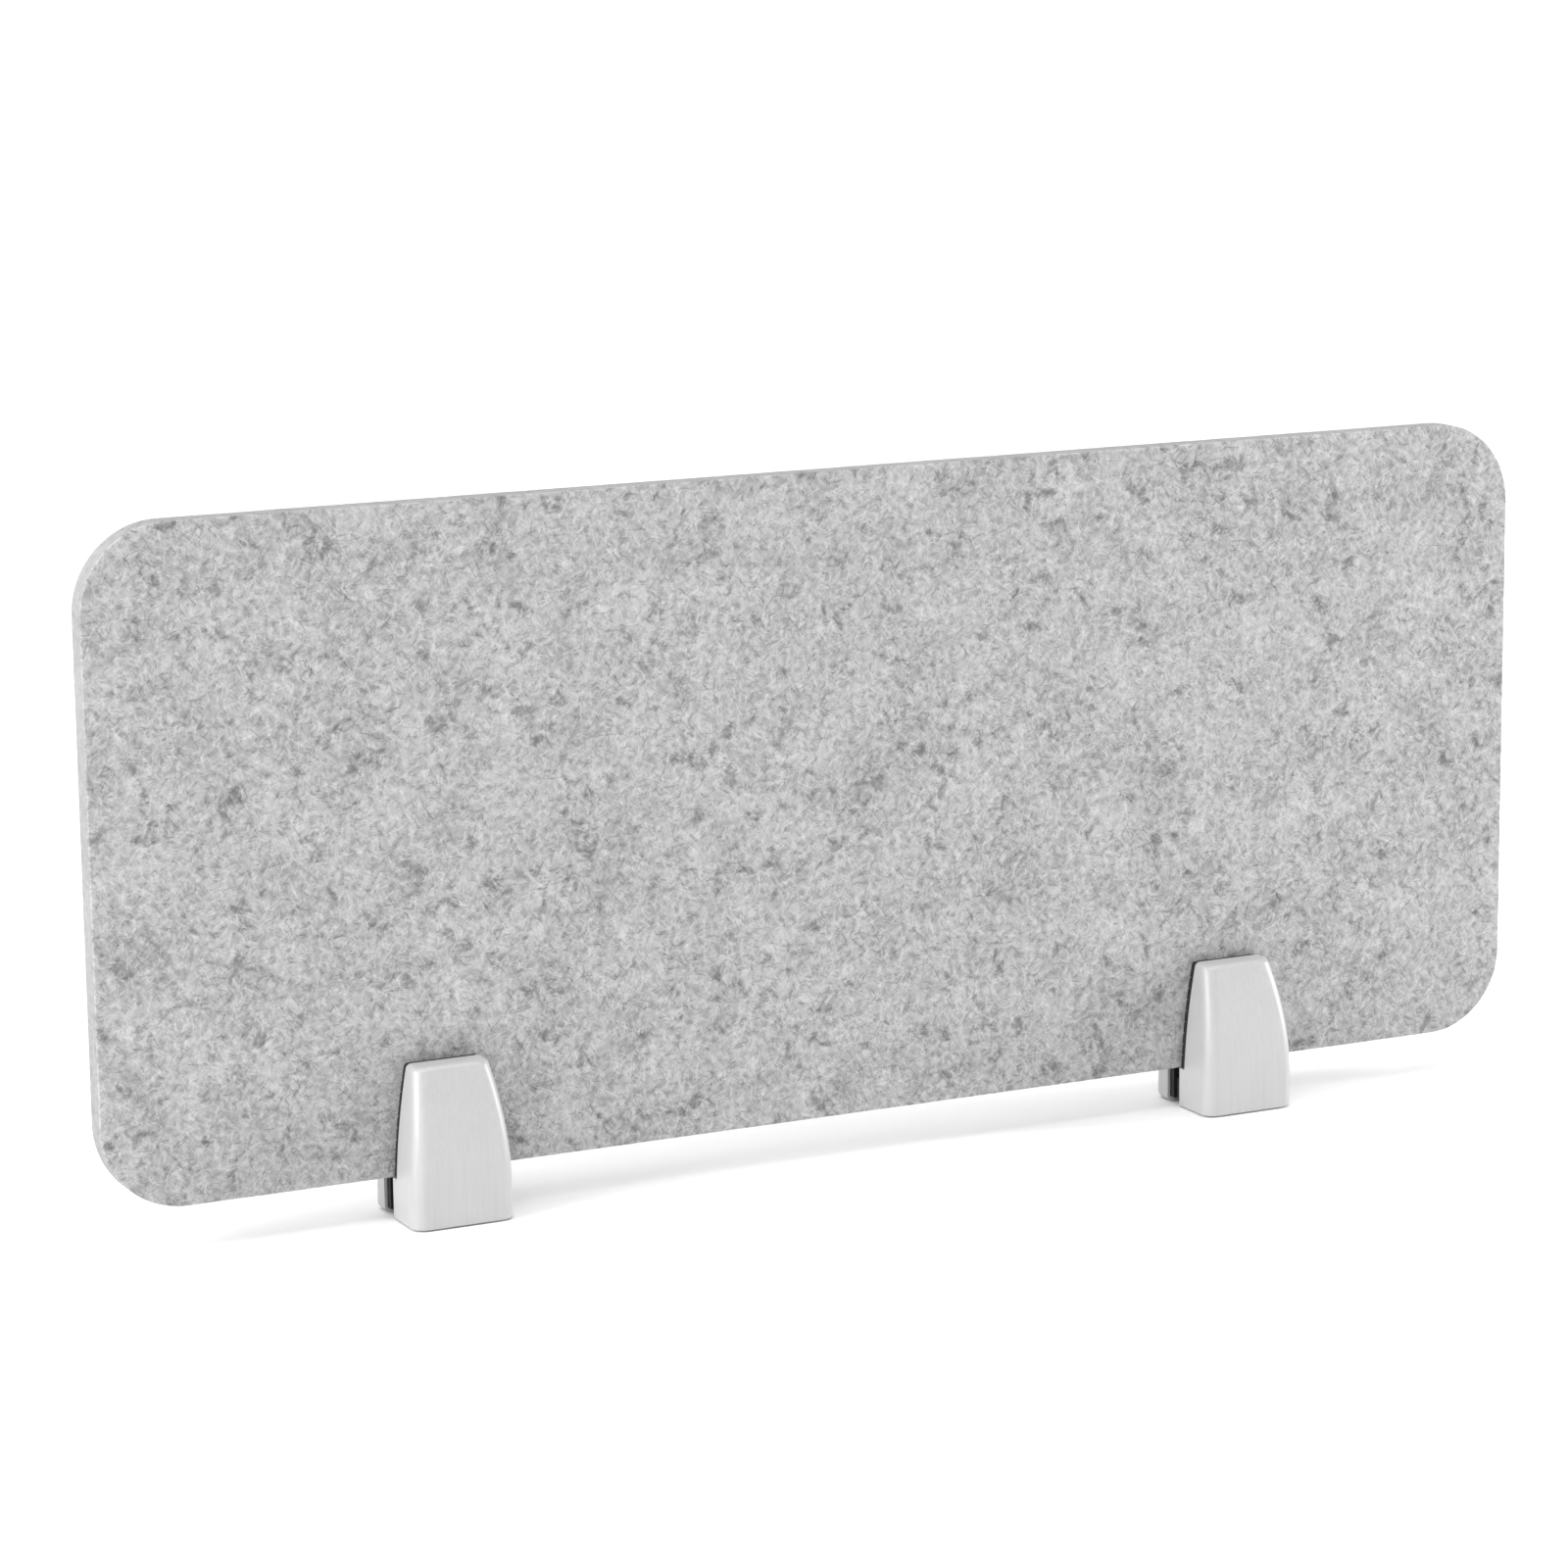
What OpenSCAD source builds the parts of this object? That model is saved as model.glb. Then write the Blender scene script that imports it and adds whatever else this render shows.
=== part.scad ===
// Desk privacy panel: a pressed felt board held upright by two clamp feet.
// Millimetres, +Z up. The origin is on the desk, under the middle of the board.
// X runs along the board, and the fixed jaws with the tall face stand on the -Y side.

/* [Board] */
// Length of the felt board
board_w = 1200; // [700:10:1800]
// Height of the felt board
board_h = 500; // [250:10:700]
// Thickness of the felt board
board_t = 20; // [12:0.5:30]
// Radius of the board's four corners
board_corner_r = 65; // [10:1:110]
// Height of the board's lower edge above the desk
board_lift = 32; // [28:1:45]

/* [Clamp feet] */
// Distance from the end of the board to the middle of a foot
foot_inset = 263.5; // [80:0.5:330]
// Width of a jaw at the desk
jaw_w = 80; // [70:1:100]
// Width of a jaw at its top, before its corners are rounded
jaw_top_w = 60; // [48:1:68]
// Share of the sideways taper that is straight; the rest sets in towards the top
taper_straight = 0.35; // [0:0.05:1]
// Height of a jaw above the desk
jaw_h = 119; // [100:1:150]
// Distance from the board's front to the front jaw's face at the desk
front_reach = 43; // [38:0.5:60]
// The same distance at the top of the front jaw
front_top_reach = 24; // [20:0.5:45]
// Distance from the board's back to the rear jaw's back at the desk
rear_reach = 21; // [20:0.5:45]
// The same distance at the top of the rear jaw
rear_top_reach = 18; // [17.5:0.5:40]
// Height above the board's lower edge where the jaw faces start to lean
lean_lift = 10; // [5:1:30]
// How late the lean sets in on the way up: 1 is a straight slope
lean_power = 1.8; // [1:0.1:2.5]
// Radius of the upright edges of a jaw
upright_edge_r = 10; // [5:0.5:13]
// Radius of the top edge of a jaw
top_edge_r = 3.5; // [2:0.5:6]
// Radius of the front jaw's bottom edge
front_bottom_r = 1.2; // [0.5:0.1:2]
// Radius of the rear jaw's bottom edge
rear_bottom_r = 4; // [1:0.5:4.5]
// Wall of the jaw covers
cover_wall = 2.5; // [1.5:0.1:4]
// How far the covers reach under the board
ledge = 1; // [0.5:0.5:3]
// How far the inner frames reach under the board
shelf_reach = 6; // [3:0.5:8]

/* [Grip and foot pads] */
// Thickness of the rubber grip pads
grip_t = 6.5; // [3:0.5:8]
// How far a grip pad stays inside the jaw's outline
grip_inset = 1; // [0.5:0.5:3]
// Depth of the grooves across a grip pad
grip_groove = 1.2; // [0.5:0.1:2]
// Distance from one groove to the next
grip_pitch = 9; // [6:0.5:14]
// Thickness of the rubber foot pads
foot_pad_t = 2; // [1.6:0.1:3]
// How far a foot pad stands out below its jaw
foot_pad_proud = 1; // [0.5:0.1:1.5]
// Distance from a foot pad's edge to the jaw's edge
foot_pad_margin = 6; // [4:0.5:10]

/* [Clamp screw] */
// Diameter of the clamp screw
screw_d = 8; // [6:0.5:10]
// Rise of the screw's thread in one turn
screw_pitch = 1.25; // [1:0.05:2]
// How far the rear jaw opens
jaw_travel = 6; // [3:0.5:8]
// Wall of the brass insert
insert_wall = 1.6; // [1.2:0.1:2.5]
// Diameter of the thumb knob
knob_d = 34; // [28:1:38]
// Length of the thumb knob
knob_l = 20.5; // [14:0.5:24]
// Number of finger hollows round the knob
knob_lobes = 7; // [5:1:9]
// Radius of a finger hollow
knob_hollow_r = 5; // [3:0.5:6]
// Thickness of the knob's washer
washer_t = 1.2; // [0.8:0.1:2]
// Thickness of the retaining ring
ring_t = 1; // [0.8:0.1:1.2]

/* [Guide pins and cover screws] */
// Diameter of the guide pins
pin_d = 6; // [4:0.5:8]
// Length of the guide pins
pin_l = 62; // [54:1:66]
// Distance from a guide pin to the side of the bridge
pin_edge = 6; // [4:0.5:10]
// Shank diameter of the cover screws
fix_d = 3.2; // [2.6:0.1:4]
// Head diameter of the cover screws
fix_head_d = 6.4; // [5:0.2:8]
// Depth of the countersunk head of a cover screw
fix_head_h = 1.8; // [1.4:0.1:2.5]
// How deep a cover screw bites into its boss
fix_bite = 6; // [4:0.5:7]
// Diameter of the bosses inside the covers
boss_d = 8; // [7:0.5:10]

/* [Inner frames] */
// Thickness of the frame plate behind a grip pad
plate_t = 3.5; // [3:0.1:4.5]
// Gap between an inner frame and its cover
frame_fit = 0.2; // [0.1:0.05:0.4]
// How far the bridge under the board stays inside the jaw's sides
bridge_recess = 5; // [3:0.5:10]
// Thickness of the ribs inside the inner frames
rib_t = 3; // [2:0.5:4]

/* [Clearances] */
// Radial running clearance of the screw in its insert and of the pins in their bores
running_fit = 0.05; // [0.02:0.01:0.1]
// Radial clearance of the screw where it only passes through
pass_fit = 0.4; // [0.2:0.1:0.8]
// Gap between parts that turn or slide past each other
run_gap = 0.3; // [0.2:0.05:0.5]
// Gap between the rear grip pad and the board at rest
grip_gap = 0.1; // [0.05:0.05:0.3]
// Gap above and below the screw where it crosses under the board
screw_air = 1.5; // [1:0.1:3]
// Gap between the end of the bridge and the rear jaw at rest
bridge_gap = 1; // [0.6:0.1:2]

/* [Hidden] */

$fn = 64;
eps = 0.01;

foot_x = board_w / 2 - foot_inset;
board_face = board_t / 2;
ledge_face = board_face - ledge;
shelf_face = board_face - shelf_reach;
plate_face = board_face + grip_t;
jaw_bottom = foot_pad_proud;

// Each jaw: depth at the desk, depth at the top, radius of its bottom edge.
front_depth = board_face + front_reach;
rear_depth = board_face + rear_reach;
front_jaw = [front_depth, board_face + front_top_reach, front_bottom_r];
rear_jaw = [rear_depth, board_face + rear_top_reach, rear_bottom_r];

// The screw passes just under the board, and the bridge lies under the screw.
screw_r = screw_d / 2;
screw_z = board_lift - screw_air - screw_r;
bridge_top = screw_z - screw_r - screw_air;
bridge_bottom = jaw_bottom + cover_wall + frame_fit;
bridge_half = jaw_w / 2 - bridge_recess;
insert_r = screw_r + insert_wall;
block_top = screw_z + insert_r + rib_t + screw_air;

// Guide pins run through the bridge.
pin_r = pin_d / 2;
pin_x = bridge_half - pin_edge - pin_r;
pin_z = (bridge_bottom + bridge_top) / 2;
rear_frame_back = rear_depth - cover_wall - frame_fit;
pin_bore_end = rear_frame_back - rib_t + 1;
pin_rear = pin_bore_end - run_gap - 0.7;
pin_front = pin_rear - pin_l;

// Stack on the screw, from the rear cover's back outwards.
washer_y = rear_depth + run_gap;
knob_y = washer_y + washer_t;
knob_end = knob_y + knob_l;
screw_tip = -front_depth + cover_wall + rib_t + 1;
screw_rear = knob_end - rib_t;

// The insert is as long as the screw can still fill when the jaw is open.
insert_y = -plate_face - plate_t;
insert_l = insert_y - screw_tip - jaw_travel;
ring_y = rear_depth - cover_wall - run_gap - ring_t;
ring_r = screw_r + 3.4;
groove_r = screw_r - 0.6;
ring_pocket_r = ring_r + 1.2;
washer_r = screw_r + 5;

// Where the cover screws sit: two low ones and one near the top.
fix_low_z = block_top + boss_d / 2 + 10;
fix_low_x = jaw_half(fix_low_z) - cover_wall - boss_d / 2 - 5;
fix_high_z = jaw_h - cover_wall - boss_d / 2 - 12;
fix_spots = [[-fix_low_x, fix_low_z], [fix_low_x, fix_low_z], [0, fix_high_z]];
fix_r = fix_d / 2;

felt_grey = [0.74, 0.74, 0.74];
satin_silver = [0.83, 0.83, 0.84];
frame_black = [0.13, 0.13, 0.14];
rubber_black = [0.08, 0.08, 0.08];
steel_grey = [0.62, 0.63, 0.65];
brass_gold = [0.78, 0.65, 0.38];

// Half the jaw's width at height z: upright below the board, then a slow inward curve.
function jaw_rise(z) = max(0, z - board_lift) / (jaw_h - board_lift);
function taper(t) = taper_straight * t + (1 - taper_straight) * pow(t, 2);
function jaw_half(z) = jaw_w / 2 - (jaw_w - jaw_top_w) / 2 * taper(jaw_rise(z));

// Distance from the board's middle to the outer face at height z, with its lean.
function lean_start() = board_lift + lean_lift;
function lean_rise(z) = max(0, z - lean_start()) / (jaw_h - lean_start());
function face_depth(jaw, z) = jaw[0] - (jaw[0] - jaw[1]) * pow(lean_rise(z), lean_power);

// Heights up a jaw, each with how far rounding pulls the section in there.
function rise_levels(bottom_r, inset) = let (
        low = jaw_bottom + inset,
        high = jaw_h - inset,
        r_low = max(bottom_r - inset, 0.5),
        r_high = max(top_edge_r - inset, 0.5),
        span = high - r_high - low - r_low
    ) concat(
        [for (a = [90 : -22.5 : 0]) [low + r_low * (1 - sin(a)), r_low * (1 - cos(a))]],
        [for (i = [1 : 6]) [low + r_low + span * i / 7, 0]],
        [for (a = [0 : 22.5 : 90]) [high - r_high + r_high * sin(a), r_high * (1 - cos(a))]]
    );

// Outline of a jaw seen from the front, pulled in by inset.
function jaw_outline(inset) = let (levels = rise_levels(front_bottom_r, inset)) concat(
        [for (s = levels) [jaw_half(s[0]) - inset - s[1], s[0]]],
        [for (i = [len(levels) - 1 : -1 : 0]) [-(jaw_half(levels[i][0]) - inset - levels[i][1]), levels[i][0]]]
    );

module at_left() { translate([-foot_x, 0, 0]) children(); }
module at_right() { translate([foot_x, 0, 0]) children(); }

// A round bar along +Y, from y0 to y1.
module bar_y(r, y0, y1, x = 0, z = 0) {
    translate([x, y0, z]) rotate([-90, 0, 0]) cylinder(r = r, h = y1 - y0);
}

// A box from one corner to the other.
module block(low, high) {
    translate(low) cube(high - low);
}

// A flat shape drawn in X and Z, given a thickness from y0 to y1.
module slab_y(y0, y1) {
    translate([0, y1, 0]) rotate([90, 0, 0]) linear_extrude(y1 - y0) children();
}

// Section of a jaw seen from above: square at the inner side, rounded at the outer upright edges.
function jaw_section(half, face, inner, edge_r, z) = concat(
        [[half, -inner, z], [-half, -inner, z]],
        [for (a = [180 : 15 : 270]) [edge_r - half + edge_r * cos(a), edge_r - face + edge_r * sin(a), z]],
        [for (a = [270 : 15 : 360]) [half - edge_r + edge_r * cos(a), edge_r - face + edge_r * sin(a), z]]
    );

// Closed solid through a stack of sections that have the same number of points.
module loft(sections) {
    n = len(sections[0]);
    rings = len(sections);
    sides = [for (k = [0 : rings - 2]) for (i = [0 : n - 1]) let (j = (i + 1) % n)
        [[k * n + i, (k + 1) * n + i, (k + 1) * n + j], [k * n + i, (k + 1) * n + j, k * n + j]]];
    polyhedron(
        points = [for (s = sections) each s],
        faces = concat(
            [[for (i = [0 : n - 1]) i]],
            [for (pair = sides) each pair],
            [[for (i = [n - 1 : -1 : 0]) (rings - 1) * n + i]]
        ),
        convexity = 2
    );
}

// Solid outer form of a jaw, built towards -Y: leaning face, rounded upright edges, flat inner side.
module jaw_form(jaw, inner, inset = 0) {
    edge_r = upright_edge_r - inset;
    loft([for (s = rise_levels(jaw[2], inset))
        jaw_section(
            jaw_half(s[0]) - inset - s[1],
            face_depth(jaw, s[0]) - inset - s[1],
            inner, edge_r, s[0]
        )
    ]);
}

// Countersunk head and shank of one cover screw, with its head on the plate face.
module cover_screw(tip) {
    translate([0, -plate_face, 0]) rotate([90, 0, 0]) cylinder(r1 = fix_head_d / 2, r2 = fix_r, h = fix_head_h);
    bar_y(fix_r, -tip, -plate_face - fix_head_h);
}

module cover_screws() {
    for (s = fix_spots)
        translate([s[0], 0, s[1]]) cover_screw(plate_face + plate_t + fix_bite);
}

// Shell of a jaw with its screw bosses, open towards the board.
module cover_shell(jaw) {
    difference() {
        jaw_form(jaw, ledge_face);
        difference() {
            jaw_form(jaw, 0, cover_wall);
            for (s = fix_spots)
                bar_y(boss_d / 2, -jaw[0], -plate_face - plate_t, s[0], s[1]);
        }
        block([-jaw_w, -plate_face, board_lift], [jaw_w, 0, jaw_h + 1]);
        cover_screws();
        foot_pad_form(jaw[0]);
    }
}

// Inner frame of a jaw: a plate under the grip pad, a cored block below and a shelf under the board.
module inner_frame(jaw, shelf_top) {
    difference() {
        intersection() {
            jaw_form(jaw, 0, cover_wall + frame_fit);
            union() {
                block([-jaw_w, -plate_face - plate_t, 0], [jaw_w, -plate_face, jaw_h]);
                block([-jaw_w, -jaw[0], 0], [jaw_w, -plate_face, block_top]);
                block([-jaw_w, -jaw[0], 0], [jaw_w, -shelf_face, shelf_top]);
            }
        }
        cover_screws();
    }
}

// Pockets that core out the block of a frame between its ribs, open at the outer side.
module block_pockets(outer, depth) {
    for (side = [-1, 1]) {
        block([side * (pin_x + pin_r + rib_t) - (side < 0 ? jaw_w : 0), -outer - 1, bridge_bottom + rib_t],
              [side * (pin_x + pin_r + rib_t) + (side < 0 ? 0 : jaw_w), -depth, block_top - rib_t]);
        block([side * (pin_x - pin_r - rib_t) - (side < 0 ? 0 : pin_x - pin_r - insert_r - 3 * rib_t),
               -outer - 1, bridge_bottom + rib_t],
              [side * (pin_x - pin_r - rib_t) + (side < 0 ? pin_x - pin_r - insert_r - 3 * rib_t : 0),
               -depth, block_top - rib_t]);
    }
}

// Rubber foot pad with rounded corners, inside the jaw's footprint.
module foot_pad_form(depth) {
    half = jaw_w / 2 - foot_pad_margin;
    near = ledge_face + foot_pad_margin - ledge;
    far = depth - foot_pad_margin;
    corner = 3;
    linear_extrude(foot_pad_t) {
        for (x = [-1, 1]) {
            for (y = [-near - corner, -far + corner])
                translate([x * (half - corner), y]) circle(r = corner);
        }
        translate([-half + corner, -far]) square([2 * (half - corner), far - near]);
        translate([-half, -far + corner]) square([2 * half, far - near - 2 * corner]);
    }
}

// Rubber grip pad: the jaw's outline with grooves across the face that meets the felt.
module grip_pad_form(face) {
    low = board_lift + grip_inset;
    difference() {
        intersection() {
            slab_y(-plate_face, -face) polygon(jaw_outline(grip_inset));
            block([-jaw_w, -plate_face, low], [jaw_w, -face, jaw_h]);
        }
        for (z = [low + grip_pitch : grip_pitch : jaw_h - top_edge_r - grip_pitch / 2])
            block([-jaw_w, -face - grip_groove, z], [jaw_w, -face + 1, z + grip_groove]);
    }
}

// The front jaw keeps this side; the rear jaw is the same shape turned to the +Y side.
module to_rear() { mirror([0, 1, 0]) children(); }

module felt_board() {
    low = board_lift + board_corner_r;
    high = board_lift + board_h - board_corner_r;
    reach = board_w / 2 - board_corner_r;
    color(felt_grey) slab_y(-board_face, board_face) {
        for (x = [-reach, reach]) {
            for (z = [low, high])
                translate([x, z]) circle(r = board_corner_r, $fn = 96);
        }
        translate([-reach, board_lift]) square([2 * reach, board_h]);
        translate([-board_w / 2, low]) square([board_w, high - low]);
    }
}

module front_cover() {
    color(satin_silver) cover_shell(front_jaw);
}

module front_frame() {
    back = front_depth - cover_wall - frame_fit;
    color(frame_black) difference() {
        union() {
            inner_frame(front_jaw, board_lift);
            block([-bridge_half, -plate_face, bridge_bottom],
                  [bridge_half, shelf_face - bridge_gap, bridge_top]);
        }
        block_pockets(back, plate_face + plate_t);
        bar_y(insert_r, insert_y - insert_l, insert_y, 0, screw_z);
        bar_y(screw_r + pass_fit, screw_tip - 1, 0, 0, screw_z);
        for (x = [-pin_x, pin_x])
            bar_y(pin_r, pin_front, shelf_face, x, pin_z);
    }
}

module front_grip_pad() {
    color(rubber_black) grip_pad_form(board_face);
}

module front_foot_pad() {
    color(rubber_black) foot_pad_form(front_depth);
}

module front_cover_screws() {
    color(steel_grey) cover_screws();
}

module threaded_insert() {
    color(brass_gold) difference() {
        bar_y(insert_r, insert_y - insert_l, insert_y, 0, screw_z);
        bar_y(screw_r + running_fit, insert_y - insert_l - 1, insert_y + 1, 0, screw_z);
    }
}

module guide_pins() {
    chamfer = 0.6;
    color(steel_grey) for (x = [-pin_x, pin_x]) {
        bar_y(pin_r, pin_front, pin_rear - chamfer, x, pin_z);
        translate([x, pin_rear - chamfer, pin_z]) rotate([-90, 0, 0])
            cylinder(r1 = pin_r, r2 = pin_r - chamfer, h = chamfer);
    }
}

module rear_cover() {
    color(satin_silver) difference() {
        to_rear() cover_shell(rear_jaw);
        block([-jaw_w, 0, board_lift - run_gap], [jaw_w, plate_face, board_lift + 1]);
        bar_y(screw_r + pass_fit, 0, rear_depth + 1, 0, screw_z);
    }
}

module rear_frame() {
    color(frame_black) difference() {
        to_rear() inner_frame(rear_jaw, board_lift - run_gap);
        to_rear() block_pockets(rear_frame_back, plate_face + plate_t);
        bar_y(screw_r + pass_fit, 0, rear_depth, 0, screw_z);
        bar_y(ring_pocket_r, ring_y - run_gap, rear_depth, 0, screw_z);
        for (x = [-pin_x, pin_x])
            bar_y(pin_r + running_fit, 0, pin_bore_end, x, pin_z);
    }
}

module rear_grip_pad() {
    color(rubber_black) to_rear() grip_pad_form(board_face + grip_gap);
}

module rear_foot_pad() {
    color(rubber_black) to_rear() foot_pad_form(rear_depth);
}

module rear_cover_screws() {
    color(steel_grey) to_rear() cover_screws();
}

module clamp_screw() {
    chamfer = 0.8 * screw_pitch;
    color(steel_grey) difference() {
        union() {
            bar_y(screw_r, screw_tip + chamfer, screw_rear, 0, screw_z);
            translate([0, screw_tip, screw_z]) rotate([-90, 0, 0])
                cylinder(r1 = screw_r - chamfer, r2 = screw_r, h = chamfer);
        }
        difference() {
            bar_y(screw_r + 1, ring_y, ring_y + ring_t, 0, screw_z);
            bar_y(groove_r, ring_y - 1, ring_y + ring_t + 1, 0, screw_z);
        }
    }
}

module clamp_knob() {
    knob_r = knob_d / 2;
    collar_r = washer_r + 1;
    collar_l = 3;
    round_r = 2.5;
    color(frame_black) translate([0, knob_y, screw_z]) rotate([-90, 0, 0]) difference() {
        intersection() {
            linear_extrude(knob_l) difference() {
                circle(r = knob_r);
                for (i = [0 : knob_lobes - 1])
                    rotate(360 / knob_lobes * i) translate([knob_r + knob_hollow_r * 0.45, 0])
                        circle(r = knob_hollow_r);
            }
            rotate_extrude($fn = 96) {
                square([collar_r, collar_l + eps]);
                translate([0, collar_l]) square([knob_r - round_r, knob_l - collar_l]);
                translate([0, collar_l + round_r]) square([knob_r, knob_l - collar_l - 2 * round_r]);
                for (h = [collar_l + round_r, knob_l - round_r])
                    translate([knob_r - round_r, h]) circle(r = round_r);
            }
        }
        translate([0, 0, -1]) cylinder(r = screw_r, h = screw_rear - knob_y + 1);
    }
}

module knob_washer() {
    color(steel_grey) difference() {
        bar_y(washer_r, washer_y, washer_y + washer_t, 0, screw_z);
        bar_y(screw_r + running_fit, washer_y - 1, washer_y + washer_t + 1, 0, screw_z);
    }
}

module retaining_ring() {
    mouth = groove_r * 1.7;
    color(steel_grey) slab_y(ring_y, ring_y + ring_t) translate([0, screw_z]) difference() {
        circle(r = ring_r);
        circle(r = groove_r);
        translate([-mouth / 2, 0]) square([mouth, ring_r + 1]);
    }
}

felt_board();

at_left() front_cover();  // left_front_cover
at_left() front_frame();  // left_front_frame
at_left() front_grip_pad();  // left_front_grip_pad
at_left() front_foot_pad();  // left_front_foot_pad
at_left() front_cover_screws();  // left_front_cover_screws
at_left() threaded_insert();  // left_threaded_insert
at_left() guide_pins();  // left_guide_pins
at_left() rear_cover();  // left_rear_cover
at_left() rear_frame();  // left_rear_frame
at_left() rear_grip_pad();  // left_rear_grip_pad
at_left() rear_foot_pad();  // left_rear_foot_pad
at_left() rear_cover_screws();  // left_rear_cover_screws
at_left() clamp_screw();  // left_clamp_screw
at_left() clamp_knob();  // left_clamp_knob
at_left() knob_washer();  // left_knob_washer
at_left() retaining_ring();  // left_retaining_ring

at_right() front_cover();  // right_front_cover
at_right() front_frame();  // right_front_frame
at_right() front_grip_pad();  // right_front_grip_pad
at_right() front_foot_pad();  // right_front_foot_pad
at_right() front_cover_screws();  // right_front_cover_screws
at_right() threaded_insert();  // right_threaded_insert
at_right() guide_pins();  // right_guide_pins
at_right() rear_cover();  // right_rear_cover
at_right() rear_frame();  // right_rear_frame
at_right() rear_grip_pad();  // right_rear_grip_pad
at_right() rear_foot_pad();  // right_rear_foot_pad
at_right() rear_cover_screws();  // right_rear_cover_screws
at_right() clamp_screw();  // right_clamp_screw
at_right() clamp_knob();  // right_clamp_knob
at_right() knob_washer();  // right_knob_washer
at_right() retaining_ring();  // right_retaining_ring
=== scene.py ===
# %% [markdown]
# # A felt desk privacy panel on two clamp feet
#
# The real object is a long board of pressed polyester felt, held upright on a desk by two clamp feet.
# Each foot has a tall front jaw, a shorter-reaching rear jaw, and a thumb screw that draws them together.
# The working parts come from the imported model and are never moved. This file builds what the eye sees:
# the felt, the painted jaw covers, the knobs and the threads, and gives every other part its finish.

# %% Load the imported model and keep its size
import math
import random

import bmesh
import bpy
from mathutils import Matrix, Vector, noise


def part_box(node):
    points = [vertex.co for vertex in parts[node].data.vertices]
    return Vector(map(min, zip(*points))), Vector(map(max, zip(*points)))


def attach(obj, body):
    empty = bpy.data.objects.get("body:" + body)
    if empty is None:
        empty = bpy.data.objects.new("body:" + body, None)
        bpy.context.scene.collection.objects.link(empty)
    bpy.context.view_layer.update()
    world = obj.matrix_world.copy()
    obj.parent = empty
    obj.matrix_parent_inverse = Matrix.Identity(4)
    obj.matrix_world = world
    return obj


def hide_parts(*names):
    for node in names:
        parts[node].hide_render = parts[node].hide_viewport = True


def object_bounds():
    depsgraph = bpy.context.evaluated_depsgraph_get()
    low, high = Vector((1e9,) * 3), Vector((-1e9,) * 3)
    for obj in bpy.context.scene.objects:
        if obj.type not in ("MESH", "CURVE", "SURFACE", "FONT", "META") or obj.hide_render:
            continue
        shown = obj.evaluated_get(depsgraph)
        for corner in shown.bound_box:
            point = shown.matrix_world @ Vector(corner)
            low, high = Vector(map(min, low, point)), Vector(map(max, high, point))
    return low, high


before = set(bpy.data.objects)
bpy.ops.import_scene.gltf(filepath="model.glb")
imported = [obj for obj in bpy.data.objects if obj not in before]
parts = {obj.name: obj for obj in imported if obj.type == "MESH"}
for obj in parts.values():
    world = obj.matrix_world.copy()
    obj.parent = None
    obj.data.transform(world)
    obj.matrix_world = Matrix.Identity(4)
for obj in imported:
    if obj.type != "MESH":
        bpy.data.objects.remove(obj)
cad_low, cad_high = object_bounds()
MM = 0.001
print("parts in the frame:", len(parts), "and the whole is", [round(v, 3) for v in cad_high - cad_low])

# %% [markdown]
# ## Small tools
#
# Colours are easiest to read as the hex codes of a paint chart, but the renderer counts light linearly,
# so one function turns hex into linear light. Another adds a shader node with its settings and links in
# one call, which keeps every material below as a short recipe. New meshes are all built as loose points and
# faces first, and then pass through one function that names them, smooths them and lets them ride on the
# right body.

# %% Colour, shader and mesh helpers


def paint_chart(hex_code):
    """Linear colour with full alpha from an sRGB hex code."""
    channels = [int(hex_code[i:i + 2], 16) / 255 for i in (0, 2, 4)]
    linear = [c / 12.92 if c <= 0.04045 else ((c + 0.055) / 1.055) ** 2.4 for c in channels]
    return (*linear, 1.0)


def add(tree, kind, inputs=None, **settings):
    """One shader node: settings are its properties, inputs are values or sockets to link from."""
    made = tree.nodes.new(kind)
    for name, value in settings.items():
        setattr(made, name, value)
    for name, value in (inputs or {}).items():
        if isinstance(value, bpy.types.NodeSocket):
            tree.links.new(value, made.inputs[name])
        else:
            made.inputs[name].default_value = value
    return made


def per_mm(size):
    """Noise scale whose features are about this many millimetres across."""
    return 1 / (size * MM)


def start_material(name):
    """An empty material with its shader and the row frame's coordinates."""
    material = bpy.data.materials.new(name)
    material.use_nodes = True
    tree = material.node_tree
    tree.nodes.clear()
    shader = add(tree, "ShaderNodeBsdfPrincipled")
    add(tree, "ShaderNodeOutputMaterial", {"Surface": shader.outputs["BSDF"]})
    place = add(tree, "ShaderNodeTexCoord").outputs["Object"]
    return material, tree, shader, place


def put_in_scene(name, data):
    """A new object that shows a mesh, a lamp or a camera."""
    made = bpy.data.objects.new(name, data)
    bpy.context.scene.collection.objects.link(made)
    return made


def mesh_of(build, name):
    """Turns the points and faces being built into a mesh, and lets go of them."""
    mesh = bpy.data.meshes.new(name)
    build.to_mesh(mesh)
    build.free()
    return mesh


def finish_piece(name, mesh, materials, body, stands_for=(), sharp_deg=40):
    """Makes an object of a mesh, smooths it up to an angle, and lets it ride on its body."""
    piece = put_in_scene(name, mesh)
    for material in materials:
        mesh.materials.append(material)
    mesh.shade_smooth()
    mesh.set_sharp_from_angle(angle=math.radians(sharp_deg))
    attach(piece, body)
    if stands_for:
        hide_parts(*stands_for)
    print(name, "has", len(mesh.polygons), "faces")
    return piece


print("silver on the chart is", [round(c, 3) for c in paint_chart("C0C0C0")[:3]], "in linear light")

# %% [markdown]
# ## Camera
#
# The view is from the front and a little to the left, with a long lens, as a catalogue shot is taken.
# A long lens keeps the board's two ends nearly the same height. The camera is placed by the angle it
# looks from and the point it looks at, which says more than a bare position would.

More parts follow.
